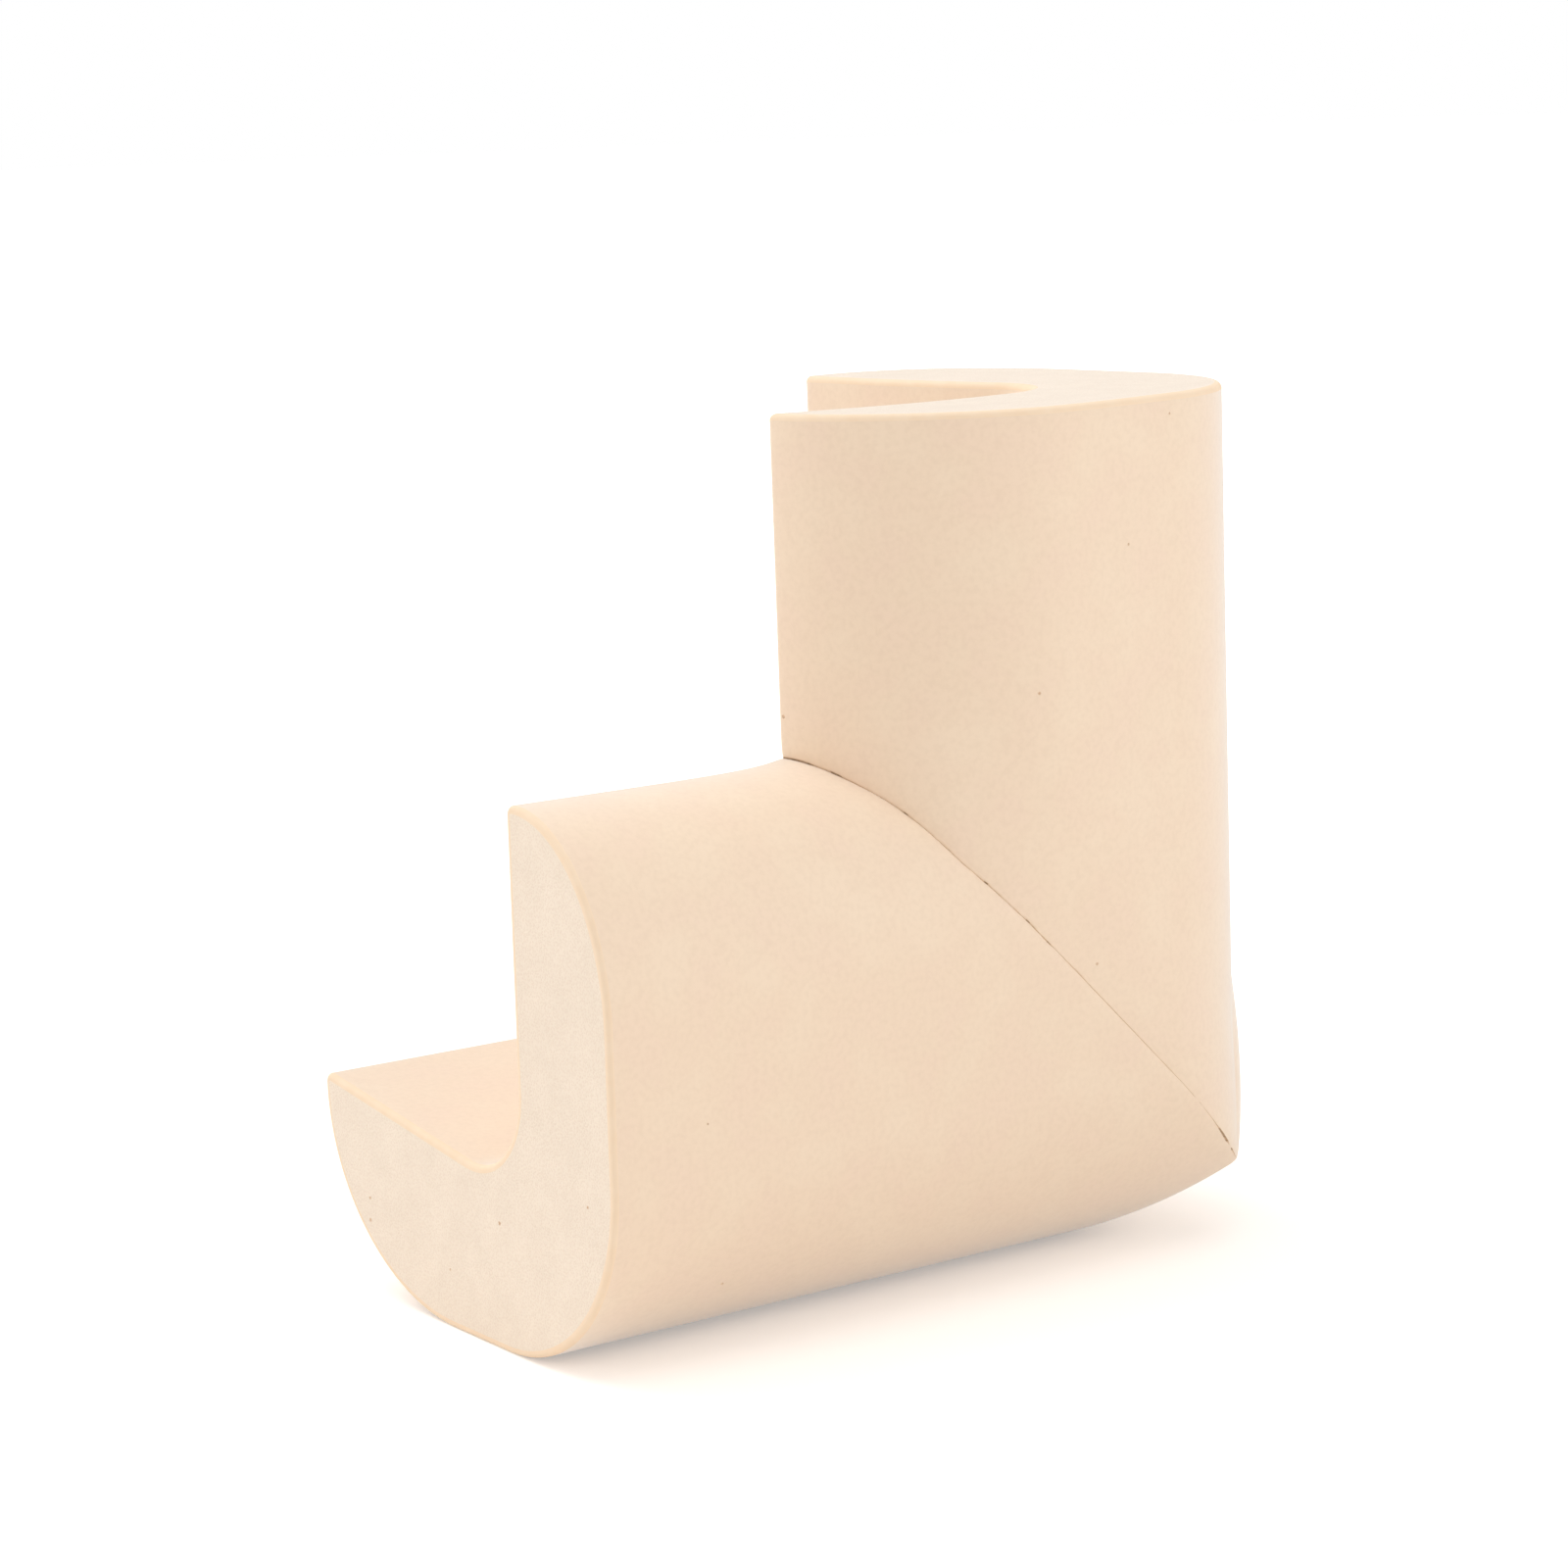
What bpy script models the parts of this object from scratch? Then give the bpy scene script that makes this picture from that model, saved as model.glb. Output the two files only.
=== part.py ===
"""Furniture corner protector: one length of foam edging, notched and folded into a right angle.

The edging has an L section: one large round at the outer corner, a square front flange and a
wrap flange that leans in a little, each running out in an elliptic round, and a fillet in the
inner corner. A notch is cut through the front flange at mid length. The length is folded there,
so the front flange closes in a bonded mitre seam and the wrap flange bends round the corner.

The lying arm runs along X and the upright arm along Z, with the fold low on the right. The
backs of the front flanges bond to the face of the furniture, and the wrap flanges bond to its
lower and right-hand edges.

Units are metres and +Z is up. The origin is the middle of the lying arm's front bonding face.
"""
import math

import bmesh
import bpy
from mathutils import Vector

# Driving sizes of the section
REACH = 0.0369              # outside of the outer corner to the end of a flange
WALL = 0.0112               # thickness of the flanges before they round off
WRAP_LEAN = 0.0035          # how far the wrap flange's inner face leans in at its end
TIP_LAND = 0.0007           # flat that is left at a flange's end, beside the inner face
FRONT_TIP_RUN = 0.0132      # length over which the front flange rounds off towards its end
WRAP_TIP_RUN = 0.0162       # the same length on the wrap flange
CORNER_ROUND = 0.0137       # radius of the section's outer corner
INNER_FILLET = 0.0060       # radius in the section's inner corner

# Driving sizes of the folded length
ARM_LENGTH = 0.0600         # outside of the fold to the cut end of each arm
FOLD_RADIUS = 0.0169        # outside radius of the wrap flange's bend
NOTCH_APEX = 0.0055         # wrap flange's outside to the bottom of the notch
NOTCH_OVERCUT = 0.0004      # how far the notch runs into the wrap flange's fillet
GLUE_LINE = 0.0003          # width of the closed notch, which the glue fills

# Faceting
CORNER_STEPS = 12
TIP_STEPS = 12
FILLET_STEPS = 7
FOLD_STEPS = 10

# Skinned foam
FOAM_COLOR = (0.887, 0.694, 0.527, 1.0)
FOAM_ROUGHNESS = 0.7

COLLECTION_NAME = "corner_protector"
CUTTER_COLLECTION_NAME = "cutters"
PIECE_NAME = "folded_foam"
CUTTER_NAME = "closed_notch"

MERGE = 0.000002            # merges only the points that the sharp mitre brings together

# Places worked out from the sizes
WRAP_TIP = WALL + WRAP_LEAN
LEAN_SLOPE = WRAP_LEAN / (REACH - WALL)
FILLET_DEPTH = WALL + INNER_FILLET
FILLET_HEIGHT = WALL + INNER_FILLET * (LEAN_SLOPE + math.hypot(1.0, LEAN_SLOPE))
FACE_MIDDLE = (FILLET_HEIGHT + REACH) / 2
ORIGIN = Vector((-(ARM_LENGTH + FACE_MIDDLE) / 2, WALL, FACE_MIDDLE))


def clear_scene():
    """Remove every object, so the script can be run again."""
    for scene_object in list(bpy.data.objects):
        bpy.data.objects.remove(scene_object, do_unlink=True)


def foam_material():
    """A Principled material for the beige skinned foam."""
    material = bpy.data.materials.new("skinned_foam")
    material.use_nodes = True
    shader = material.node_tree.nodes["Principled BSDF"]
    shader.inputs["Base Color"].default_value = FOAM_COLOR
    shader.inputs["Roughness"].default_value = FOAM_ROUGHNESS
    shader.inputs["Metallic"].default_value = 0.0
    return material


def arc(centre, radii, start, end, steps):
    """Points on an ellipse between two angles in degrees, both ends included."""
    points = []
    for step in range(steps + 1):
        angle = math.radians(start + (end - start) * step / steps)
        points.append((centre[0] + radii[0] * math.cos(angle), centre[1] + radii[1] * math.sin(angle)))
    return points


def section_outline():
    """The L section as (depth, height) points, measured from the two outer faces.

    It runs down the front flange from its end, round the outer corner, out to the end of the
    wrap flange, and back along the inner faces through the fillet that touches them both.
    """
    front_depth = WALL - TIP_LAND
    wrap_height = WRAP_TIP - TIP_LAND
    corner = (CORNER_ROUND, CORNER_ROUND)
    fillet = (INNER_FILLET, INNER_FILLET)
    lean = math.degrees(math.atan(LEAN_SLOPE))
    outline = [(WALL, REACH)]
    outline += arc((front_depth, REACH - FRONT_TIP_RUN), (front_depth, FRONT_TIP_RUN), 90, 180, TIP_STEPS)
    outline += arc(corner, corner, 180, 270, CORNER_STEPS)
    outline += arc((REACH - WRAP_TIP_RUN, wrap_height), (WRAP_TIP_RUN, wrap_height), 270, 360, TIP_STEPS)
    outline.append((REACH, WRAP_TIP))
    outline += arc((FILLET_DEPTH, FILLET_HEIGHT), fillet, 270 + lean, 180, FILLET_STEPS)
    return outline


def skin_height(depth):
    """Height of the wrap flange's outer face at a depth, through the outer corner's round."""
    inset = max(CORNER_ROUND - depth, 0.0)
    return CORNER_ROUND - math.sqrt(CORNER_ROUND**2 - inset**2)


def bend_radius(depth, height):
    """Radius at which a point of the section goes round the fold.

    The notch closes in a sharp mitre down to its bottom. Behind it the skin bends in step with
    the foam that the notch leaves uncut, until it has its whole radius on the wrap flange.
    """
    skin = skin_height(depth)
    uncut_share = max(NOTCH_APEX - skin, 0.0) / NOTCH_APEX
    axis_height = skin + FOLD_RADIUS * uncut_share
    return max(axis_height - height, 0.0)


def fold_point(depth, height, angle):
    """Where a point of the section stands once it has turned by an angle round the fold."""
    radius = bend_radius(depth, height)
    across = -height - radius + radius * math.sin(angle)
    up = height + radius - radius * math.cos(angle)
    return Vector((across, depth, up)) - ORIGIN


def station_points(outline, station):
    """The section's points at a station: 0 is the lying end, the last one is the upright end."""
    if station == 0:
        return [Vector((-ARM_LENGTH, depth, height)) - ORIGIN for depth, height in outline]
    if station == FOLD_STEPS + 2:
        return [Vector((-height, depth, ARM_LENGTH)) - ORIGIN for depth, height in outline]
    angle = math.radians(90.0 * (station - 1) / FOLD_STEPS)
    return [fold_point(depth, height, angle) for depth, height in outline]


def folded_mesh():
    """The section drawn from the lying end, round the fold, to the upright end."""
    outline = section_outline()
    shape = bmesh.new()
    ring = [shape.verts.new(point) for point in station_points(outline, 0)]
    shape.faces.new(ring)
    for station in range(1, FOLD_STEPS + 3):
        next_ring = [shape.verts.new(point) for point in station_points(outline, station)]
        for index in range(len(ring)):
            after = (index + 1) % len(ring)
            shape.faces.new((ring[index], ring[after], next_ring[after], next_ring[index]))
        ring = next_ring
    shape.faces.new(ring)
    bmesh.ops.remove_doubles(shape, verts=shape.verts[:], dist=MERGE)
    bmesh.ops.recalc_face_normals(shape, faces=shape.faces[:])
    mesh = bpy.data.meshes.new(PIECE_NAME)
    shape.to_mesh(mesh)
    shape.free()
    mesh.shade_smooth()
    mesh.set_sharp_from_angle(angle=math.radians(30))
    return mesh


def notch_cutter():
    """A thin plate in the mitre plane, through the front flange and down to the notch's apex."""
    margin = 0.002
    start = NOTCH_APEX
    end = REACH + margin
    middle = (start + end) / 2
    depth = WALL + NOTCH_OVERCUT + margin
    bpy.ops.mesh.primitive_cube_add(
        size=1.0,
        location=Vector((-middle, depth / 2 - margin, middle)) - ORIGIN,
        rotation=(0.0, math.radians(45), 0.0),
        scale=((end - start) * math.sqrt(2.0), depth, GLUE_LINE),
    )
    cutter = bpy.context.active_object
    cutter.name = CUTTER_NAME
    cutter.hide_render = True
    cutter.display_type = "WIRE"
    return cutter


def collection_of(name, scene_object):
    """Make a collection and move one object into it."""
    collection = bpy.data.collections.new(name)
    bpy.context.scene.collection.children.link(collection)
    for holder in list(scene_object.users_collection):
        holder.objects.unlink(scene_object)
    collection.objects.link(scene_object)
    return collection


def build():
    """Build the folded foam and cut the closed notch into it."""
    clear_scene()
    foam = bpy.data.objects.new(PIECE_NAME, folded_mesh())
    foam.data.materials.append(foam_material())
    collection_of(COLLECTION_NAME, foam)
    cutter = notch_cutter()
    collection_of(CUTTER_COLLECTION_NAME, cutter)
    cut = foam.modifiers.new("cut_notch", "BOOLEAN")
    cut.operation = "DIFFERENCE"
    cut.solver = "EXACT"
    cut.object = cutter


build()
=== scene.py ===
"""Looks of a furniture corner protector: one length of beige foam edging, notched and folded.

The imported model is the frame. The folded foam is drawn again here with a finer mesh: its relaxed
upright flanges, the closed notch with its uneven glued lips, the open crack at the notch's
bottom, the skin's rim round the porous cut ends, and the pits in the skin and in those ends.
Lengths are in metres, unless a name or a docstring says otherwise.
"""
import logging
import math
import random
from dataclasses import dataclass, field
from enum import Enum

import bmesh
import bpy
from mathutils import Matrix, Vector, noise
from mathutils.bvhtree import BVHTree

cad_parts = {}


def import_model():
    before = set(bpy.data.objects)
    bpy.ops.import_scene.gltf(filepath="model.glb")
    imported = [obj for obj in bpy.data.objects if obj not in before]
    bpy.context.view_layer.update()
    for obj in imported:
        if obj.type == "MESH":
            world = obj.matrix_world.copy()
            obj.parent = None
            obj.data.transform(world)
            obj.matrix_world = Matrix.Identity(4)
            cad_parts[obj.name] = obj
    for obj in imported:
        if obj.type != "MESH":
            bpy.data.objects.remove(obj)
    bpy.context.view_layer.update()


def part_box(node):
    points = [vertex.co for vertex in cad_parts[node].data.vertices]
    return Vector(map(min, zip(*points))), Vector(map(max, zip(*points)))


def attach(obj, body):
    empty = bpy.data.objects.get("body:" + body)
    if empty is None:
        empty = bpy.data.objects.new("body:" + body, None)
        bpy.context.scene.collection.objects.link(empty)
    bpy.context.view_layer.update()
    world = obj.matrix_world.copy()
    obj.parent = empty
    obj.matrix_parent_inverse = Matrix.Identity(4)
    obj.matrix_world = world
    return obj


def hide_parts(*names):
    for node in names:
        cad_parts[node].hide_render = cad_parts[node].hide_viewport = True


LOG = logging.getLogger("corner_protector")
MM = 0.001
Pair = tuple[float, float]
Colour = tuple[float, float, float, float]
WHITE: Colour = (1.0, 1.0, 1.0, 1.0)


def srgb(red: int, green: int, blue: int) -> Colour:
    """Turn a colour as it looks on a screen into the linear colour that a shader takes.

    Args:
        red: Red, from 0 to 255.
        green: Green, from 0 to 255.
        blue: Blue, from 0 to 255.

    Returns:
        The linear colour, with an alpha of 1.
    """
    linear = []
    for channel in (red, green, blue):
        share = channel / 255.0
        linear.append(share / 12.92 if share <= 0.04045 else ((share + 0.055) / 1.055) ** 2.4)
    return linear[0], linear[1], linear[2], 1.0


def smooth_rise(value: float, low: float, high: float) -> float:
    """Rise smoothly from 0 where the value is low to 1 where it is high."""
    share = min(max((value - low) / (high - low), 0.0), 1.0)
    return share * share * (3.0 - 2.0 * share)


def arc(centre: Pair, radii: Pair, start: float, end: float, spacing: float) -> list[Pair]:
    """Points on an ellipse between two angles.

    Args:
        centre: Depth and height of its middle.
        radii: Half its depth and half its height.
        start: First angle, in degrees.
        end: Last angle, in degrees.
        spacing: Rough distance between two points.

    Returns:
        The points, both ends included.
    """
    length = math.radians(abs(end - start)) * (radii[0] + radii[1]) / 2.0
    steps = max(round(length / spacing), 2)
    points = []
    for step in range(steps + 1):
        angle = math.radians(start + (end - start) * step / steps)
        depth = centre[0] + radii[0] * math.cos(angle)
        height = centre[1] + radii[1] * math.sin(angle)
        points.append((depth, height))
    return points


def straight(start: Pair, end: Pair, spacing: float) -> list[Pair]:
    """Points between two places, without the two places themselves.

    Args:
        start: The first place.
        end: The last place.
        spacing: Rough distance between two points.

    Returns:
        The points between them.
    """
    steps = max(round(math.dist(start, end) / spacing), 1)
    points = []
    for step in range(1, steps):
        share = step / steps
        depth = start[0] + (end[0] - start[0]) * share
        height = start[1] + (end[1] - start[1]) * share
        points.append((depth, height))
    return points


class Dress(Enum):
    """The finishes of the foam, in the order of its material slots."""

    SKIN = 0
    CUT = 1
    GLUE = 2
    CRACK = 3
    PIT = 4
    RIM = 5


class Side(Enum):
    """The two arms of the guard, as the side of the seam that each lies on."""

    LYING = -1
    UPRIGHT = 1


@dataclass
class EdgingSection:
    """The L section of the edging. A point is its depth from the front and its height from outside.

    Two runs of points meet where their ends are within a share of a spacing.
    """

    reach: float = 36.9 * MM
    wall: float = 11.2 * MM
    wrap_lean: float = 3.5 * MM
    tip_land: float = 0.7 * MM
    tip_round: float = 0.65 * MM
    front_tip_run: float = 13.2 * MM
    wrap_tip_run: float = 16.2 * MM
    corner_round: float = 13.7 * MM
    inner_fillet: float = 6.0 * MM
    front_spacing: float = 0.25 * MM
    wrap_spacing: float = 0.45 * MM
    inner_spacing: float = 0.55 * MM
    tip_spacing: float = 0.12 * MM
    joined_within: float = 0.25

    def outline(self) -> list[Pair]:
        """Draw the closed outline, from the front flange's end round the outer corner and back inside.

        Each run is followed by a straight stretch to the next, unless the two meet.

        Returns:
            Its points, with the foam on their left.
        """
        wrap_tip = self.wall + self.wrap_lean
        slope = self.wrap_lean / (self.reach - self.wall)
        lean = math.degrees(math.atan(slope))
        fillet_height = self.wall + self.inner_fillet * (slope + math.hypot(1.0, slope))
        front_depth = self.wall - self.tip_land
        wrap_height = wrap_tip - self.tip_land
        soft = self.tip_round
        front_centre = (front_depth, self.reach - self.front_tip_run)
        wrap_centre = (self.reach - self.wrap_tip_run, wrap_height)
        fillet_centre = (self.wall + self.inner_fillet, fillet_height)
        corner_centre = (self.corner_round, self.corner_round)
        tip_centre = (self.wall - soft, self.reach - soft)
        wrap_tip_centre = (self.reach - soft, wrap_tip - soft)
        front_radii = (front_depth, self.front_tip_run)
        wrap_radii = (self.wrap_tip_run, wrap_height)
        corner_radii = (self.corner_round, self.corner_round)
        fillet_radii = (self.inner_fillet, self.inner_fillet)
        tip_radii = (soft, soft)
        front, wrap, inner = self.front_spacing, self.wrap_spacing, self.inner_spacing
        runs = [
            (arc(tip_centre, tip_radii, 0, 90, self.tip_spacing), inner),
            (arc(front_centre, front_radii, 90, 180, front), front),
            (arc(corner_centre, corner_radii, 180, 270, front), front),
            (arc(wrap_centre, wrap_radii, 270, 360, wrap), wrap),
            (arc(wrap_tip_centre, tip_radii, 0, 90, self.tip_spacing), wrap),
            (arc(fillet_centre, fillet_radii, 270 + lean, 180, inner), inner),
        ]
        outline: list[Pair] = []
        for index, (run, _) in enumerate(runs):
            following, spacing = runs[(index + 1) % len(runs)]
            outline.extend(run)
            if math.dist(run[-1], following[0]) > spacing * self.joined_within:
                outline.extend(straight(run[-1], following[0], spacing))
            else:
                outline.pop()
        return outline

    def skin_height(self, depth: float) -> float:
        """Height of the wrap flange's outer face at a depth, through the outer corner's round."""
        inset = max(self.corner_round - depth, 0.0)
        return self.corner_round - math.sqrt(self.corner_round**2 - inset**2)


@dataclass
class Fold:
    """How the edging goes round the corner: sharp where it is notched, and in a bend behind."""

    radius: float = 16.9 * MM
    notch_apex: float = 5.5 * MM

    def bend_radius(self, section: EdgingSection, point: Pair) -> float:
        """Radius at which a point of the section goes round the fold.

        Args:
            section: The edging's section.
            point: The point's depth and height.

        Returns:
            The radius, which is nothing in the closed notch.
        """
        skin = section.skin_height(point[0])
        uncut_share = max(self.notch_apex - skin, 0.0) / self.notch_apex
        return max(skin + self.radius * uncut_share - point[1], 0.0)


@dataclass
class Seam:
    """The closed notch: two uneven lips, the glue between them, and an open crack at its bottom.

    A share is a place along it, from 0 at the flange's end to 1 at the notch's bottom. Chips and
    finer crumbs take the lips back unevenly, and calm down past the middle.
    """

    steepness: float = 0.6
    groove_power: float = 1.4
    lip_dip: float = 0.07 * MM
    lip_run: float = 0.45 * MM
    lip_fade: float = 1.0 * MM
    tip_width: float = 0.10 * MM
    glued_width: float = 0.09 * MM
    crack_width: float = 0.22 * MM
    least_gap: float = 0.03 * MM
    # Opening above which the seam takes its dark brown, glue residue with painted shade in the gap.
    dark_from: float = 0.16 * MM
    loose_end: float = 0.55
    crack_start: float = 0.86
    crack_middle: float = 0.94
    tightening: float = 0.4
    chip_size: float = 0.11 * MM
    chip_count: float = 34.0
    chip_sides: float = 7.3
    chip_layer: float = 0.4
    crumb_share: float = 0.6
    crumb_scale: float = 2.7
    bulge_limit: float = 0.25
    calm: float = 0.75
    calm_from: float = 0.38
    calm_to: float = 0.62

    def width(self, share: float) -> float:
        """How wide the seam is open.

        Args:
            share: Place along it, from 0 at the flange's end to 1 at the notch's bottom.

        Returns:
            The width between the lips.
        """
        loose = 1.0 - smooth_rise(share, 0.0, self.loose_end)
        crack = smooth_rise(share, self.crack_start, self.crack_middle)
        crack *= 1.0 - smooth_rise(share, self.crack_middle, 1.0)
        tight = self.tightening * smooth_rise(share, self.loose_end, self.crack_start)
        glued = self.glued_width * (1.0 - tight)
        return glued + (self.tip_width - self.glued_width) * loose + self.crack_width * crack

    def chip(self, share: float, side: Side) -> float:
        """How far a chip takes one lip back.

        Args:
            share: Place along the seam.
            side: The arm that the lip belongs to.

        Returns:
            The extra distance from the seam's middle.
        """
        place = Vector((share * self.chip_count, side.value * self.chip_sides, self.chip_layer))
        rough = noise.noise(place) + self.crumb_share * noise.noise(place * self.crumb_scale)
        calm = self.calm * smooth_rise(share, self.calm_from, self.calm_to)
        return max(rough, -self.bulge_limit) * self.chip_size * (1.0 - calm)

    def gap(self, share: float, side: Side) -> float:
        """Distance of one lip from the mitre plane."""
        return max(self.width(share) / 2.0 + self.chip(share, side), self.least_gap)

    def opening(self, share: float) -> float:
        """Distance between the two lips."""
        return self.gap(share, Side.LYING) + self.gap(share, Side.UPRIGHT)

    def dress(self, share: float) -> Dress:
        """The finish inside the seam: glue where it is shut, and where it is open a dark brown that is
        glue residue and painted shade in the gap.
        """
        return Dress.CRACK if self.opening(share) > self.dark_from else Dress.GLUE


@dataclass
class RelaxedFoam:
    """How the foam stands free: the upright arm turned a little, with both its flanges curled.

    The seam holds the section square, so the turn comes in over a short rise above it. Only the
    ends of the two front flanges are pulled back together where they meet.
    """

    turn: float = math.radians(8.3)
    lean: float = math.radians(-0.44)
    front_curl: float = 4.27 * MM
    wrap_curl: float = -1.97 * MM
    curl_start: float = 18.0 * MM
    curl_length: float = 18.7 * MM
    curl_limit: float = 1.2
    pivot: Vector = field(default_factory=lambda: Vector((-17.5, 12.0, 17.5)) * MM)
    rise: float = 11.0 * MM
    pulled_from: float = 30.0 * MM
    pulled_to: float = 36.9 * MM
    pulled_up: float = 0.4 * MM
    pull_fade: float = 3.0 * MM

    def curl(self, distance: float) -> float:
        """Share of a flange's curl at a distance out along it."""
        share = (distance - self.curl_start) / self.curl_length
        return min(max(share, 0.0), self.curl_limit) ** 2

    def pulled(self, point: Pair) -> float:
        """Find how much of the relaxed place a point of the front flange has at the seam itself.

        Args:
            point: Depth and height of the point in the section.

        Returns:
            A share, which is 0 everywhere in the wrap flange.
        """
        if point[0] >= self.curl_start:
            return 0.0
        return smooth_rise(point[1], self.pulled_from, self.pulled_to)

    def relaxed(self, point: Pair, up: float, share: float) -> Vector:
        """Turn and curl a point of the upright arm.

        Args:
            point: Depth and height of the point in the section.
            up: Its height above the table.
            share: How much of the turn and the curl it has.

        Returns:
            The place from the fold's outer corner.
        """
        depth, height = point
        curled = Vector((
            -height - self.wrap_curl * self.curl(depth) * share,
            depth + self.front_curl * self.curl(height) * share,
            up,
        ))
        turned = Matrix.Rotation(self.turn * share, 3, "Z")
        leant = Matrix.Rotation(self.lean * share, 3, "Y")
        return turned @ leant @ (curled - self.pivot) + self.pivot

    def upright(self, point: Pair, up: float, distance: float) -> Vector:
        """Find where a point of the upright arm stands.

        Args:
            point: Depth and height of the point in the section.
            up: Its height above the table.
            distance: Its distance from the seam along the arm.

        Returns:
            The place from the fold's outer corner.
        """
        pulled = self.pulled(point)
        risen = smooth_rise(distance, 0.0, self.rise)
        place = self.relaxed(point, up, pulled + (1.0 - pulled) * risen)
        place.z += self.pulled_up * pulled * math.exp(-distance / self.pull_fade)
        return place

    def lying(self, point: Pair, along: float, distance: float) -> Vector:
        """Find where a point of the lying arm stands.

        Args:
            point: Depth and height of the point in the section.
            along: Its distance along the arm from the fold's outside.
            distance: Its distance from the seam along the arm.

        Returns:
            The place from the fold's outer corner.
        """
        pulled = self.pulled(point)
        fade = math.exp(-distance / self.pull_fade)
        shift = self.relaxed(point, point[1], pulled) - Vector((-point[1], point[0], point[1]))
        shift.z += self.pulled_up * pulled
        return Vector((-along, point[0], point[1])) + shift * fade


@dataclass
class SectionPoint:
    """One point of the section's outline, with what the sweep needs to know about it."""

    place: Pair
    inward: Pair
    radius: float
    seam_share: float

    def sunk(self, amount: float) -> Pair:
        """The point moved into the foam."""
        return self.place[0] + self.inward[0] * amount, self.place[1] + self.inward[1] * amount


@dataclass
class FoldedGuard:
    """The folded length of foam edging: its section swept along both arms and round the fold."""

    corner: Vector
    arm_length: float
    section: EdgingSection = field(default_factory=EdgingSection)
    fold: Fold = field(default_factory=Fold)
    seam: Seam = field(default_factory=Seam)
    relaxed: RelaxedFoam = field(default_factory=RelaxedFoam)
    arm_steps: int = 42
    fold_steps: int = 24
    growth: float = 3.0
    last_share: float = 0.994
    welded_within: float = 0.002 * MM
    lying_rim: float = 0.34 * MM
    upright_rim: float = 0.44 * MM
    rim_steps: int = 6
    skin_rim: float = 0.50 * MM
    lying_shorter: float = 0.33 * MM
    upright_longer: float = 0.31 * MM

    def section_points(self) -> list[SectionPoint]:
        """Take the outline's points, each with the way into the foam, its bend and its seam share.

        Returns:
            The points, in the outline's order.
        """
        outline = self.section.outline()
        apex = self.fold.notch_apex
        points = []
        for index, place in enumerate(outline):
            before = outline[index - 1]
            after = outline[(index + 1) % len(outline)]
            run = (after[0] - before[0], after[1] - before[1])
            length = math.hypot(*run)
            inward = (-run[1] / length, run[0] / length)
            seam_share = (self.section.reach - place[1]) / (self.section.reach - apex)
            radius = self.fold.bend_radius(self.section, place)
            points.append(SectionPoint(place, inward, radius, min(max(seam_share, 0.0), 1.0)))
        return points

    def arm_shares(self) -> list[float]:
        """Share out an arm's length from the fold outwards, closer together near the seam.

        Returns:
            The shares, the last of which is 1 at the cut end.
        """
        whole = math.exp(self.growth) - 1.0
        shares = [(math.exp(self.growth * step / self.arm_steps) - 1.0) / whole
                  for step in range(1, self.arm_steps)]
        return [*shares, self.last_share, 1.0]

    def length(self, side: Side) -> float:
        """Length of an arm as it was really cut."""
        extra = self.upright_longer if side is Side.UPRIGHT else -self.lying_shorter
        return self.arm_length + extra

    def rim_round(self, side: Side) -> float:
        """Radius to which the edge of an arm's cut end is softened."""
        return self.upright_rim if side is Side.UPRIGHT else self.lying_rim

    def lip_dip(self, point: SectionPoint, distance: float) -> float:
        """How far the skin rolls in at a distance from the closed notch."""
        closed = 1.0 - smooth_rise(point.radius, 0.0, self.seam.lip_fade)
        return self.seam.lip_dip * closed * math.exp(-distance / self.seam.lip_run)

    def arm_place(self, point: SectionPoint, side: Side, share: float) -> Vector:
        """Find where a section point stands on an arm.

        Args:
            point: The point of the section.
            side: The arm.
            share: 0 at the fold and 1 at the cut end.

        Returns:
            The place in the model's frame.
        """
        gap = self.seam.gap(point.seam_share, side) if point.radius == 0.0 else 0.0
        start = point.place[1] + point.radius + gap
        along = start + (self.length(side) - self.rim_round(side) - start) * share
        place = point.sunk(self.lip_dip(point, along - start))
        return self.corner + self.stand(place, side, along, along - start)

    def stand(self, place: Pair, side: Side, along: float, distance: float) -> Vector:
        """Stand a place of the section on an arm.

        Args:
            place: Its depth and height.
            side: The arm.
            along: Its distance along the arm from the fold's outside.
            distance: Its distance from the seam along the arm.

        Returns:
            The place from the fold's outer corner.
        """
        if side is Side.LYING:
            return self.relaxed.lying(place, along, distance)
        return self.relaxed.upright(place, along, distance)

    def fold_place(self, point: SectionPoint, step: int) -> Vector:
        """Find where a section point stands in the fold, which in the notch is the seam's groove.

        Args:
            point: The point of the section.
            step: Step of the fold, from the lying arm to the upright one.

        Returns:
            The place in the model's frame.
        """
        turn = 2.0 * step / self.fold_steps - 1.0
        if point.radius > 0.0:
            angle = math.pi / 4.0 * (turn + 1.0)
            depth, height = point.sunk(self.lip_dip(point, 0.0))
            across = height + point.radius * (1.0 - math.sin(angle))
            up = height + point.radius * (1.0 - math.cos(angle))
            return self.corner + Vector((-across, depth, up))
        side = Side.LYING if turn < 0.0 else Side.UPRIGHT
        gap = self.seam.gap(point.seam_share, side) * abs(turn)
        deep = self.seam.steepness * self.seam.opening(point.seam_share)
        groove = deep * (1.0 - abs(turn) ** self.seam.groove_power)
        depth, height = point.sunk(self.seam.lip_dip + groove)
        return self.corner + self.stand((depth, height), side, height + gap, 0.0)

    def arm_ring(self, points: list[SectionPoint], side: Side, share: float) -> list[Vector]:
        """Where the whole section stands at one share of an arm."""
        return [self.arm_place(point, side, share) for point in points]

    def fold_ring(self, points: list[SectionPoint], step: int) -> list[Vector]:
        """Where the whole section stands at one step of the fold."""
        return [self.fold_place(point, step) for point in points]

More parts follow.
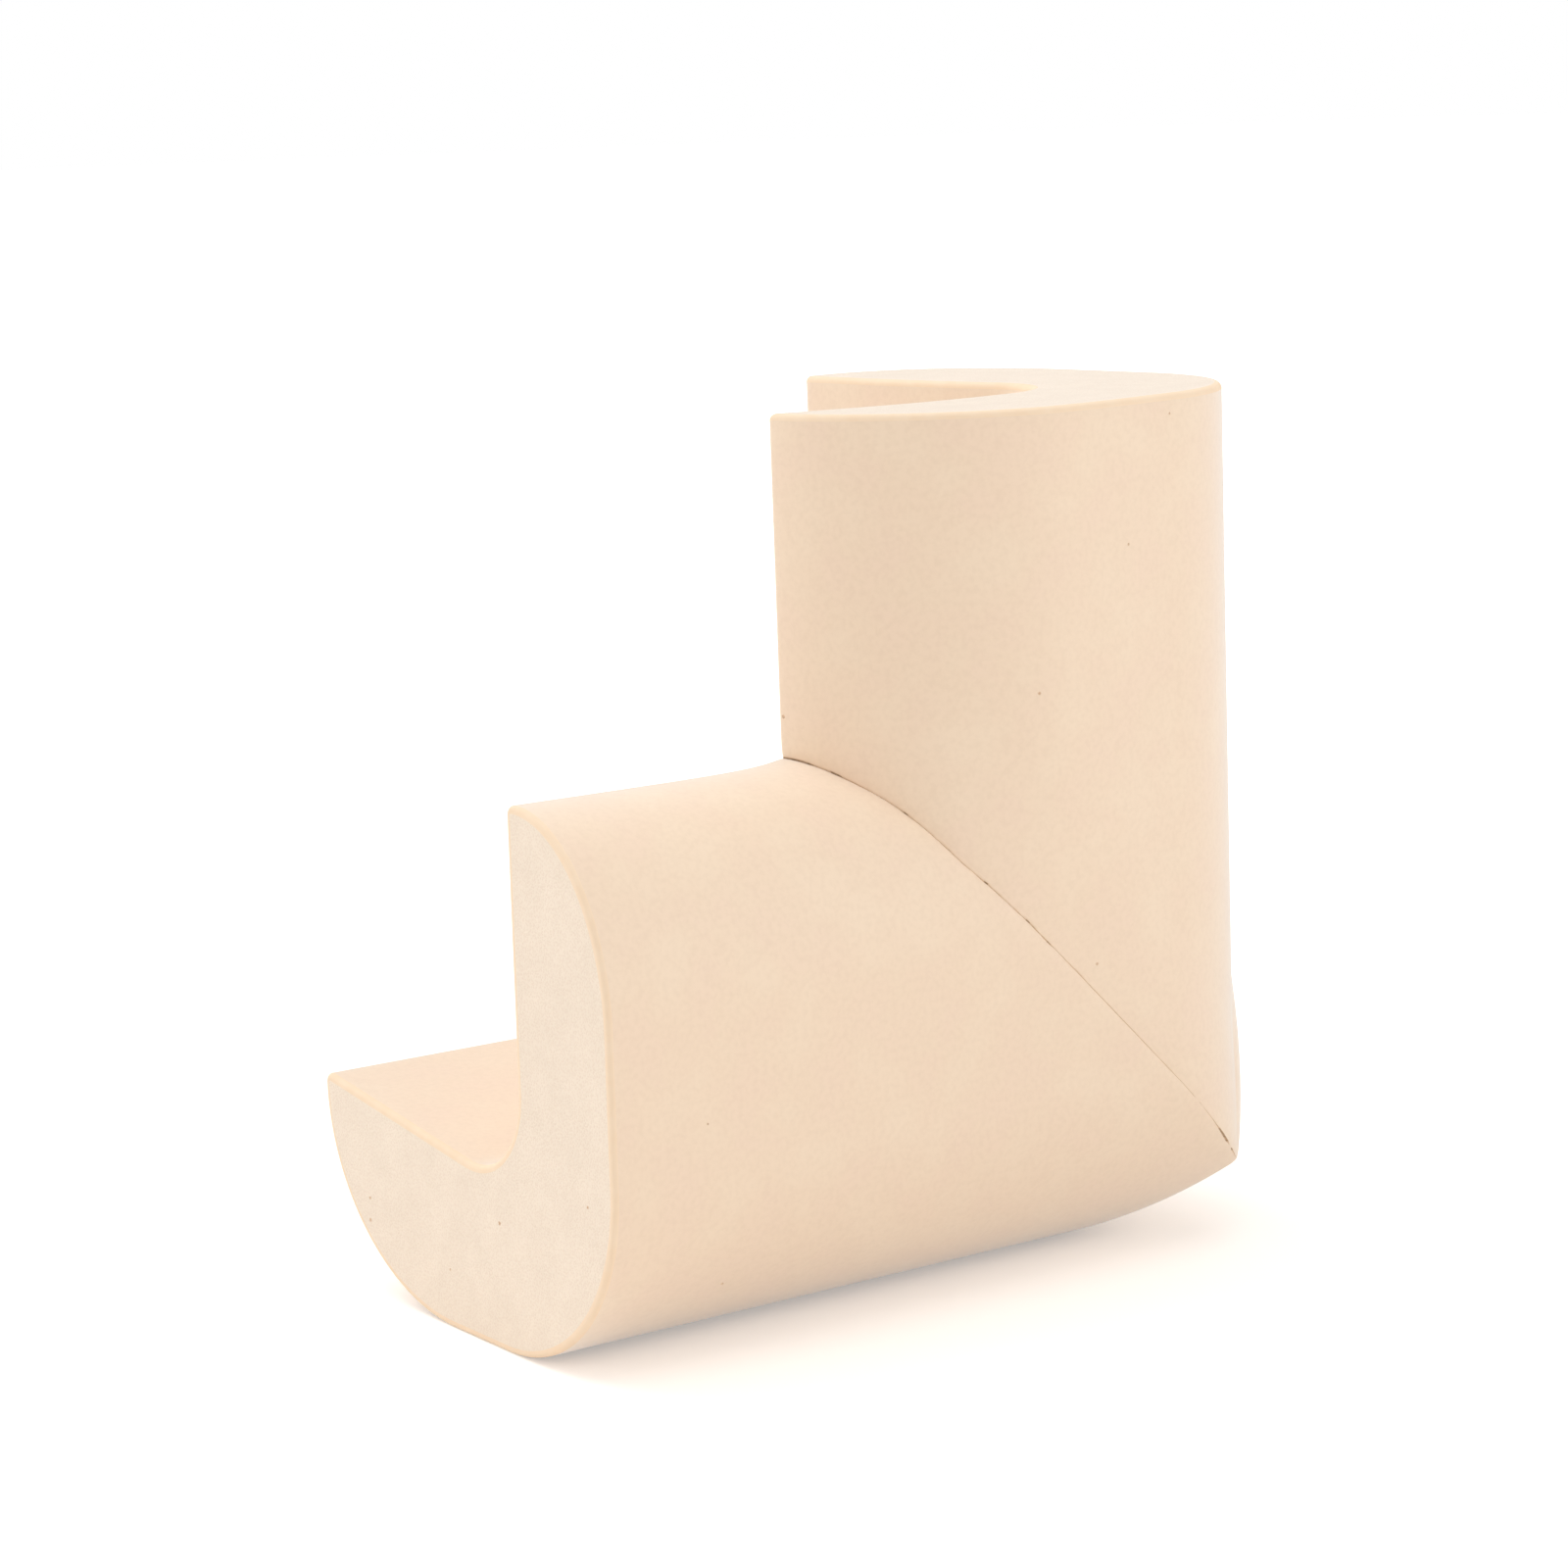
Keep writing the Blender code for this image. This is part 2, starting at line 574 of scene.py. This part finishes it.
    def body(self) -> bpy.types.Mesh:
        """Draw the foam from the lying end, round the fold, to the upright end.

        Returns:
            The closed mesh, with each face dressed as skin, rim, cut foam or seam.
        """
        points = self.section_points()
        shares = self.arm_shares()
        rings = [self.arm_ring(points, Side.LYING, share) for share in reversed(shares)]
        rings += [self.fold_ring(points, step) for step in range(self.fold_steps + 1)]
        rings += [self.arm_ring(points, Side.UPRIGHT, share) for share in shares]
        shape = bmesh.new()
        self.skin_over(shape, points, rings)
        self.close_end(shape, points, Side.LYING)
        self.close_end(shape, points, Side.UPRIGHT)
        bmesh.ops.remove_doubles(shape, verts=shape.verts[:], dist=self.welded_within)
        bmesh.ops.recalc_face_normals(shape, faces=shape.faces[:])
        mesh = bpy.data.meshes.new("foam_body")
        shape.to_mesh(mesh)
        shape.free()
        return mesh

    @staticmethod
    def join_rings(shape: bmesh.types.BMesh, before: list[bmesh.types.BMVert],
                   current: list[bmesh.types.BMVert]) -> list[bmesh.types.BMFace]:
        """Draw the faces between two rings of as many points.

        Args:
            shape: The mesh to draw in.
            before: The first ring.
            current: The ring that follows it.

        Returns:
            One face for each point of the first ring.
        """
        faces = []
        for index in range(len(before)):
            after = (index + 1) % len(before)
            corners = (before[index], before[after], current[after], current[index])
            faces.append(shape.faces.new(corners))
        return faces

    def skin_over(self, shape: bmesh.types.BMesh, points: list[SectionPoint],
                  rings: list[list[Vector]]) -> None:
        """Draw the faces between the rings, with the seam's colours inside the closed notch: glue, and
        a dark brown with painted shade where it is open.

        Args:
            shape: The mesh to draw in.
            points: The section's points.
            rings: Where they stand, from the lying end to the upright end.
        """
        first_fold = len(self.arm_shares())
        previous = [shape.verts.new(place) for place in rings[0]]
        for number, ring in enumerate(rings[1:], start=1):
            current = [shape.verts.new(place) for place in ring]
            in_fold = first_fold < number <= first_fold + self.fold_steps
            for index, face in enumerate(self.join_rings(shape, previous, current)):
                point = points[index]
                after = points[(index + 1) % len(points)]
                closed = point.radius == 0.0 and after.radius == 0.0
                dress = self.seam.dress(point.seam_share) if in_fold and closed else Dress.SKIN
                face.material_index = dress.value
            previous = current

    def close_end(self, shape: bmesh.types.BMesh, points: list[SectionPoint], side: Side) -> None:
        """Close a cut end: its softened edge, the skin's rim, and the porous foam inside it.

        Args:
            shape: The mesh to draw in.
            points: The section's points.
            side: The arm whose end it is.
        """
        rings = []
        soft = self.rim_round(side)
        for step in range(self.rim_steps + 1):
            angle = math.pi / 2.0 * step / self.rim_steps
            rings.append((soft * (1.0 - math.cos(angle)), soft * (1.0 - math.sin(angle))))
        rings.append((self.skin_rim, 0.0))
        previous: list[bmesh.types.BMVert] = []
        for inset, short in rings:
            current = []
            for point in points:
                along = self.length(side) - short
                distance = along - point.place[1] - point.radius
                place = self.stand(point.sunk(inset), side, along, distance)
                current.append(shape.verts.new(self.corner + place))
            # The softened edge and the skin's rim take the rim colour, the skin's tone lightened with
            # a painted highlight.
            for face in self.join_rings(shape, previous, current):
                face.material_index = Dress.RIM.value
            previous = current
        shape.faces.new(previous).material_index = Dress.CUT.value


@dataclass
class Pits:
    """Burst bubbles that show as small pits in the skin and in the cut ends.

    The pits in front are given as millimetres from the fold's outer corner, leftwards and upwards,
    and those in the lying end as millimetres of depth and height in the section. The others are
    scattered at random. Each is found by a ray from outside. The scattered rays and those at the
    end start so many of the guard's widths away.
    """

    radius: float = 0.14 * MM
    radius_shares: Pair = (0.6, 1.15)
    sunk: float = 0.3
    facets: int = 2
    seed: int = 11
    scattered: int = 16
    aim_reach: float = 0.4
    forwards: float = -0.2
    ray_start: float = 3.0
    end_ray_start: float = 2.0
    sharp_angle: float = math.radians(50.0)
    front: tuple[Pair, ...] = (
        (52.5, 16.9), (49.8, 5.2), (12.8, 59.0), (25.0, 41.4), (17.1, 50.6), (20.4, 22.4),
    )
    lying_end: tuple[Pair, ...] = ((14.1, 8.7), (3.2, 12.1), (31.3, 6.8), (31.4, 5.2))

    def rays(self, corner: Vector, size: Vector, draw: random.Random) -> list[tuple[Vector, Vector]]:
        """Aim a ray at the place of each pit.

        Args:
            corner: The fold's outer corner.
            size: The guard's whole size.
            draw: Where the random numbers come from.

        Returns:
            Each ray's start and direction.
        """
        rays = []
        for across, up in self.front:
            start = corner + Vector((-across * MM, -size.y, up * MM))
            rays.append((start, Vector((0, 1, 0))))
        for depth, height in self.lying_end:
            start = corner + Vector((-self.end_ray_start * size.x, depth * MM, height * MM))
            rays.append((start, Vector((1, 0, 0))))
        middle = corner + Vector((-size.x / 2, size.y / 2, size.z / 2))
        reach = self.aim_reach
        for _ in range(self.scattered):
            way = Vector((draw.uniform(-1, 1), draw.uniform(self.forwards, 1), draw.uniform(-1, 1)))
            way.normalize()
            aim = Vector([draw.uniform(-reach, reach) for _ in range(3)])
            target = middle + Vector((aim.x * size.x, aim.y * size.y, aim.z * size.z))
            rays.append((target + way * self.ray_start * size.x, -way))
        return rays

    def places(self, foam: bpy.types.Mesh, corner: Vector, size: Vector) -> list[tuple[Vector, float]]:
        """Find the surface where each pit lies.

        Args:
            foam: The foam's mesh.
            corner: The fold's outer corner.
            size: The guard's whole size.

        Returns:
            Where each cutter goes, with its radius.
        """
        tree = BVHTree.FromPolygons([vertex.co for vertex in foam.vertices],
                                    [polygon.vertices for polygon in foam.polygons])
        draw = random.Random(self.seed)
        found = []
        for start, way in self.rays(corner, size, draw):
            hit, normal, _, _ = tree.ray_cast(start, way)
            radius = self.radius * draw.uniform(*self.radius_shares)
            if hit is not None:
                found.append((hit + normal * radius * self.sunk, radius))
        return found

    def press_into(self, guard: bpy.types.Object, corner: Vector, size: Vector) -> None:
        """Cut the pits into the foam, and bake them into its mesh.

        Args:
            guard: The foam's object.
            corner: The fold's outer corner.
            size: The guard's whole size.
        """
        shape = bmesh.new()
        for place, radius in self.places(guard.data, corner, size):
            bmesh.ops.create_icosphere(shape, subdivisions=self.facets, radius=radius,
                                       matrix=Matrix.Translation(place))
        # The pit faces take the pit colour, darker than the skin as painted shade in each pit.
        for face in shape.faces:
            face.material_index = Dress.PIT.value
        mesh = bpy.data.meshes.new("burst_bubbles")
        shape.to_mesh(mesh)
        shape.free()
        cutter = bpy.data.objects.new("burst_bubbles", mesh)
        bpy.context.scene.collection.objects.link(cutter)
        cut = guard.modifiers.new("pits", "BOOLEAN")
        cut.operation = "DIFFERENCE"
        cut.solver = "EXACT"
        cut.object = cutter
        evaluated = guard.evaluated_get(bpy.context.evaluated_depsgraph_get())
        pitted = bpy.data.meshes.new_from_object(evaluated)
        guard.modifiers.clear()
        guard.data = pitted
        bpy.data.objects.remove(cutter)
        pitted.shade_smooth()
        pitted.set_sharp_from_angle(angle=self.sharp_angle)


@dataclass
class MaterialSheet:
    """A material's node tree, with short ways to add to it."""

    name: str
    material: bpy.types.Material = field(init=False)

    def __post_init__(self) -> None:
        """Make the material with its Principled shader."""
        self.material = bpy.data.materials.new(self.name)
        self.material.use_nodes = True

    def shader(self) -> bpy.types.Node:
        """The Principled shader."""
        return self.material.node_tree.nodes["Principled BSDF"]

    def node(self, kind: str, values: dict[str, object]) -> bpy.types.Node:
        """Add a node.

        Args:
            kind: The node's type.
            values: Values for its input sockets, by socket name.

        Returns:
            The new node.
        """
        added = self.material.node_tree.nodes.new(kind)
        for socket, value in values.items():
            added.inputs[socket].default_value = value
        return added

    def link(self, source: bpy.types.NodeSocket, target: bpy.types.NodeSocket) -> None:
        """Link an output socket to an input socket."""
        self.material.node_tree.links.new(source, target)

    def paint(self, colour: bpy.types.NodeSocket, values: dict[str, float]) -> None:
        """Give the shader its colour and the values of its own sockets.

        Args:
            colour: The colour.
            values: The values, by socket name.
        """
        self.link(colour, self.shader().inputs["Base Color"])
        for socket, value in values.items():
            self.shader().inputs[socket].default_value = value

    def emboss(self, height: bpy.types.NodeSocket, depth: float, strength: float) -> None:
        """Give the shader a relief.

        Args:
            height: The relief, from 0 to 1.
            depth: How deep it is.
            strength: How much of it shows.
        """
        bump = self.node("ShaderNodeBump", {"Strength": strength, "Distance": depth})
        self.link(height, bump.inputs["Height"])
        self.link(bump.outputs["Normal"], self.shader().inputs["Normal"])

    def place(self) -> bpy.types.NodeSocket:
        """The place on the object, in metres."""
        return self.node("ShaderNodeTexCoord", {}).outputs["Object"]

    def grain(self, size: float, detail: float) -> bpy.types.NodeSocket:
        """Add a noise whose grains have a given size.

        Args:
            size: Rough size of a grain.
            detail: How many finer noises are laid on it.

        Returns:
            The noise, from 0 to 1.
        """
        added = self.node("ShaderNodeTexNoise", {"Scale": 1.0 / size, "Detail": detail})
        self.link(self.place(), added.inputs["Vector"])
        return added.outputs["Fac"]

    def tones(self, share: bpy.types.NodeSocket, places: tuple[float, ...],
              colours: tuple[Colour, ...]) -> bpy.types.NodeSocket:
        """Turn a share into a colour.

        Args:
            share: The share, from 0 to 1.
            places: Places on the ramp, two or more.
            colours: The colours there.

        Returns:
            The colour.
        """
        ramp = self.node("ShaderNodeValToRGB", {})
        elements = ramp.color_ramp.elements
        for place in places[1:-1]:
            elements.new(place)
        for element, place, colour in zip(elements, places, colours):
            element.position = place
            element.color = colour
        self.link(share, ramp.inputs["Fac"])
        return ramp.outputs["Color"]

    def multiply(self, colour: bpy.types.NodeSocket,
                 other: bpy.types.NodeSocket) -> bpy.types.NodeSocket:
        """Multiply two colours.

        Args:
            colour: The first colour.
            other: The second colour.

        Returns:
            Their product.
        """
        mix = self.material.node_tree.nodes.new("ShaderNodeMixRGB")
        mix.blend_type = "MULTIPLY"
        mix.inputs["Fac"].default_value = 1.0
        self.link(colour, mix.inputs["Color1"])
        self.link(other, mix.inputs["Color2"])
        return mix.outputs["Color"]


@dataclass(frozen=True)
class SkinFinish:
    """The smooth closed skin: light beige, faintly mottled, with a fine orange peel."""

    rosy: Colour = srgb(242, 217, 192)
    colour: Colour = srgb(242, 218, 192)
    pale: Colour = srgb(243, 220, 194)
    patch: float = 4.0 * MM
    patch_detail: float = 3.0
    patch_places: tuple[float, float, float] = (0.35, 0.5, 0.65)
    speck_tone: Colour = (0.965, 0.958, 0.95, 1.0)
    speck: float = 0.4 * MM
    speck_detail: float = 2.0
    speck_places: Pair = (0.3, 0.6)
    peel: float = 0.3 * MM
    peel_detail: float = 2.0
    peel_depth: float = 0.02 * MM
    peel_strength: float = 0.35
    roughness: float = 0.55
    sheen: float = 0.9
    sheen_roughness: float = 0.4

    def material(self) -> bpy.types.Material:
        """Build the skin's material.

        Returns:
            The material.
        """
        sheet = MaterialSheet("foam_skin")
        patch_grain = sheet.grain(self.patch, self.patch_detail)
        patches = sheet.tones(patch_grain, self.patch_places, (self.rosy, self.colour, self.pale))
        speck_grain = sheet.grain(self.speck, self.speck_detail)
        specks = sheet.tones(speck_grain, self.speck_places, (self.speck_tone, WHITE))
        sheet.paint(sheet.multiply(patches, specks), {
            "Roughness": self.roughness,
            "Sheen Weight": self.sheen,
            "Sheen Roughness": self.sheen_roughness,
        })
        sheet.emboss(sheet.grain(self.peel, self.peel_detail), self.peel_depth, self.peel_strength)
        return sheet.material


@dataclass(frozen=True)
class CutFinish:
    """The cut foam: paler than the skin, with fine closed cells that the cut laid open, each darker in
    its hollow than on its walls as painted shade.
    """

    # The cell tone sits in each cell's hollow and the wall tone on its rim: painted shade in the open
    # cells.
    cell: Colour = srgb(237, 217, 197)
    wall: Colour = srgb(246, 230, 211)
    cell_size: float = 0.17 * MM
    cell_places: Pair = (0.0, 0.6)
    cell_depth: float = 0.05 * MM
    cell_strength: float = 0.5
    patch_tone: Colour = (0.96, 0.955, 0.95, 1.0)
    patch: float = 2.5 * MM
    patch_detail: float = 3.0
    patch_places: Pair = (0.3, 0.7)
    roughness: float = 0.85
    specular: float = 0.25
    sheen: float = 0.4
    sheen_roughness: float = 0.4

    def material(self) -> bpy.types.Material:
        """Build the cut foam's material.

        Returns:
            The material.
        """
        sheet = MaterialSheet("cut_foam")
        cells = sheet.node("ShaderNodeTexVoronoi", {"Scale": 1.0 / self.cell_size})
        sheet.link(sheet.place(), cells.inputs["Vector"])
        tones = sheet.tones(cells.outputs["Distance"], self.cell_places, (self.cell, self.wall))
        patch_grain = sheet.grain(self.patch, self.patch_detail)
        patches = sheet.tones(patch_grain, self.patch_places, (self.patch_tone, WHITE))
        sheet.paint(sheet.multiply(tones, patches), {
            "Roughness": self.roughness,
            "Specular IOR Level": self.specular,
            "Sheen Weight": self.sheen,
            "Sheen Roughness": self.sheen_roughness,
        })
        sheet.emboss(cells.outputs["Distance"], self.cell_depth, self.cell_strength)
        return sheet.material


@dataclass(frozen=True)
class RoughFinish:
    """A rough matt finish of two tones, for the seam, the bottoms of the pits and the skin's rim; the
    open crack's brown is glue residue with painted shade, the pits' darker tone is painted shade, and
    the rim's lighter tone carries a painted highlight.
    """

    name: str
    dark: Colour
    light: Colour
    grain: float
    detail: float = 3.0
    places: Pair = (0.35, 0.65)
    roughness: float = 0.9

    def material(self) -> bpy.types.Material:
        """Build the rough material.

        Returns:
            The material.
        """
        sheet = MaterialSheet(self.name)
        grain = sheet.grain(self.grain, self.detail)
        tones = sheet.tones(grain, self.places, (self.dark, self.light))
        sheet.paint(tones, {"Roughness": self.roughness})
        return sheet.material


@dataclass(frozen=True)
class SoftLamp:
    """A large soft lamp, placed by angles in degrees.

    Its level is how bright it makes a white sheet that faces it.
    """

    name: str
    azimuth: float
    elevation: float
    level: float
    size: float
    distance: float = 0.9

    def hang(self, target: Vector) -> None:
        """Hang the lamp, facing the target.

        Args:
            target: What it lights. Azimuth 0 is in front of it and 90 is on its right.
        """
        lamp = bpy.data.lights.new(self.name, "AREA")
        lamp.shape = "SQUARE"
        lamp.size = self.size
        lamp.energy = math.pi**2 * self.distance**2 * self.level
        holder = bpy.data.objects.new(self.name, lamp)
        bpy.context.scene.collection.objects.link(holder)
        azimuth = math.radians(self.azimuth)
        elevation = math.radians(self.elevation)
        level_run = math.cos(elevation)
        way = Vector((math.sin(azimuth) * level_run, -math.cos(azimuth) * level_run,
                      math.sin(elevation)))
        holder.location = target + way * self.distance
        holder.rotation_euler = way.to_track_quat("Z", "Y").to_euler()


@dataclass
class Studio:
    """A pale floor that keeps the object's shadow, a white surround and soft lamps.

    The floor glows a little to the camera, and more and more over the shadow's reach, which runs
    between two distances from the floor's middle.
    """

    floor_level: float
    middle: Vector
    floor_size: float = 12.0
    ambient: float = 0.54
    floor_paint: Colour = (0.95, 0.92, 0.89, 1.0)
    floor_glow: float = 0.3
    shadow_reach: Pair = (0.08, 0.4)
    lamps: tuple[SoftLamp, ...] = (
        SoftLamp("top_lamp", 0.0, 88.0, 0.31, 0.9),
        SoftLamp("right_lamp", 32.0, 18.0, 0.28, 0.7),
        SoftLamp("left_lamp", -108.0, 14.0, 0.18, 0.7),
        SoftLamp("back_lamp", -155.0, 50.0, 0.38, 0.7),
    )

    @staticmethod
    def seen_or_mirrored(tree: bpy.types.NodeTree) -> bpy.types.NodeSocket:
        """Add up the rays that see a backdrop: camera, glossy and transmission rays.

        Args:
            tree: The node tree to build in.

        Returns:
            1 for such a ray and 0 for the others.
        """
        rays = tree.nodes.new("ShaderNodeLightPath")
        total = rays.outputs["Is Camera Ray"]
        for kind in ("Is Glossy Ray", "Is Transmission Ray"):
            added = tree.nodes.new("ShaderNodeMath")
            added.operation = "ADD"
            added.use_clamp = True
            tree.links.new(total, added.inputs[0])
            tree.links.new(rays.outputs[kind], added.inputs[1])
            total = added.outputs[0]
        return total

    def floor_glow_strength(self, tree: bpy.types.NodeTree) -> bpy.types.NodeSocket:
        """Let the floor glow to what sees it, and less near the object than further out.

        Args:
            tree: The floor's node tree.

        Returns:
            The glow's strength.
        """
        place = tree.nodes.new("ShaderNodeTexCoord")
        distance = tree.nodes.new("ShaderNodeVectorMath")
        distance.operation = "LENGTH"
        tree.links.new(place.outputs["Object"], distance.inputs[0])
        fade = tree.nodes.new("ShaderNodeMapRange")
        fade.interpolation_type = "SMOOTHSTEP"
        fade.inputs["From Min"].default_value = self.shadow_reach[0]
        fade.inputs["From Max"].default_value = self.shadow_reach[1]
        fade.inputs["To Min"].default_value = self.floor_glow
        fade.inputs["To Max"].default_value = 1.0
        tree.links.new(distance.outputs["Value"], fade.inputs["Value"])
        strength = tree.nodes.new("ShaderNodeMath")
        strength.operation = "MULTIPLY"
        tree.links.new(self.seen_or_mirrored(tree), strength.inputs[0])
        tree.links.new(fade.outputs["Result"], strength.inputs[1])
        return strength.outputs[0]

    def floor_material(self) -> bpy.types.Material:
        """Paint the floor, whose faint glow makes it read as white.

        Returns:
            The material.
        """
        material = bpy.data.materials.new("white_floor")
        material.use_nodes = True
        tree = material.node_tree
        tree.nodes.clear()
        paint = tree.nodes.new("ShaderNodeBsdfDiffuse")
        paint.inputs["Color"].default_value = self.floor_paint
        glow = tree.nodes.new("ShaderNodeEmission")
        tree.links.new(self.floor_glow_strength(tree), glow.inputs["Strength"])
        both = tree.nodes.new("ShaderNodeAddShader")
        tree.links.new(paint.outputs[0], both.inputs[0])
        tree.links.new(glow.outputs[0], both.inputs[1])
        output = tree.nodes.new("ShaderNodeOutputMaterial")
        tree.links.new(both.outputs[0], output.inputs["Surface"])
        return material

    def lay_floor(self) -> None:
        """Lay the floor under the object."""
        place = (self.middle.x, self.middle.y, self.floor_level)
        bpy.ops.mesh.primitive_plane_add(size=self.floor_size, location=place)
        floor = bpy.context.active_object
        floor.name = "studio_floor"
        floor.data.materials.append(self.floor_material())

    def light_surround(self) -> None:
        """Make the world white to the camera, and plain soft light to the object."""
        world = bpy.data.worlds.new("white_surround")
        bpy.context.scene.world = world
        world.use_nodes = True
        tree = world.node_tree
        background = tree.nodes["Background"]
        background.inputs["Color"].default_value = WHITE
        level = tree.nodes.new("ShaderNodeMapRange")
        level.inputs["To Min"].default_value = self.ambient
        level.inputs["To Max"].default_value = 1.0
        tree.links.new(self.seen_or_mirrored(tree), level.inputs["Value"])
        tree.links.new(level.outputs["Result"], background.inputs["Strength"])

    def build(self) -> None:
        """Build the floor, the surround and the lamps."""
        self.lay_floor()
        self.light_surround()
        for lamp in self.lamps:
            lamp.hang(self.middle)


@dataclass
class PhotoCamera:
    """The camera of the photograph, placed from the fold's outer corner.

    Its angles are in degrees, and its focal length and sensor in millimetres.
    """

    corner: Vector
    left: float = 189.17 * MM
    front: float = 203.24 * MM
    up: float = 80.67 * MM
    azimuth: float = 35.20
    look_down: float = 9.76
    roll: float = -1.73
    focal_length: float = 91.555
    sensor_width: float = 36.0
    nearest: float = 10.0 * MM

    def build(self) -> None:
        """Create the camera and make it the scene's own."""
        camera = bpy.data.cameras.new("photo_camera")
        camera.sensor_width = self.sensor_width
        camera.lens = self.focal_length
        camera.clip_start = self.nearest
        holder = bpy.data.objects.new("photo_camera", camera)
        bpy.context.scene.collection.objects.link(holder)
        turn = (
            Matrix.Rotation(math.radians(-self.azimuth), 4, "Z")
            @ Matrix.Rotation(math.radians(90.0 - self.look_down), 4, "X")
            @ Matrix.Rotation(math.radians(self.roll), 4, "Z")
        )
        place = self.corner + Vector((-self.left, -self.front, self.up))
        holder.matrix_world = Matrix.Translation(place) @ turn
        bpy.context.scene.camera = holder


def foam_finishes() -> dict[Dress, SkinFinish | CutFinish | RoughFinish]:
    """The finish for each dress of the foam.

    Returns:
        The finishes, by dress.
    """
    return {
        Dress.SKIN: SkinFinish(),
        Dress.CUT: CutFinish(),
        Dress.GLUE: RoughFinish("seam_glue", srgb(232, 208, 180), srgb(240, 216, 190), 0.3 * MM),
        # The open crack's dark brown is partly glue residue and partly painted shade in the gap.
        Dress.CRACK: RoughFinish("open_crack_glue_and_shade", srgb(186, 158, 128), srgb(220, 194, 166), 0.3 * MM),
        # The pits' bottoms are darker than the skin: painted shade in the pits.
        Dress.PIT: RoughFinish("burst_pit_shade", srgb(222, 196, 168), srgb(236, 210, 184), 0.1 * MM),
        # The skin's rim is a little lighter than the skin: its own tone plus a painted highlight along
        # the softened edge.
        Dress.RIM: RoughFinish("skin_rim", srgb(246, 220, 190), srgb(247, 223, 195), 1.0 * MM),
    }


def main() -> None:
    """Build the guard, its dress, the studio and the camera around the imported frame."""
    logging.basicConfig(level=logging.INFO, format="%(name)s: %(message)s")
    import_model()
    low, high = (Vector(bound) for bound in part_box("folded_foam"))
    size = high - low
    corner = Vector((high.x, low.y, low.z))

    folded = FoldedGuard(corner=corner, arm_length=size.x)
    guard = bpy.data.objects.new("foam_guard", folded.body())
    bpy.context.scene.collection.objects.link(guard)
    finishes = foam_finishes()
    for dress in Dress:
        guard.data.materials.append(finishes[dress].material())
    Pits().press_into(guard, corner, size)
    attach(guard, "root")
    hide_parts("folded_foam")
    LOG.info("foam_guard: %d faces", len(guard.data.polygons))

    Studio(floor_level=low.z, middle=(low + high) / 2.0).build()
    PhotoCamera(corner=corner).build()
    bpy.context.scene.view_settings.view_transform = "Standard"


if __name__ == "__main__":
    main()
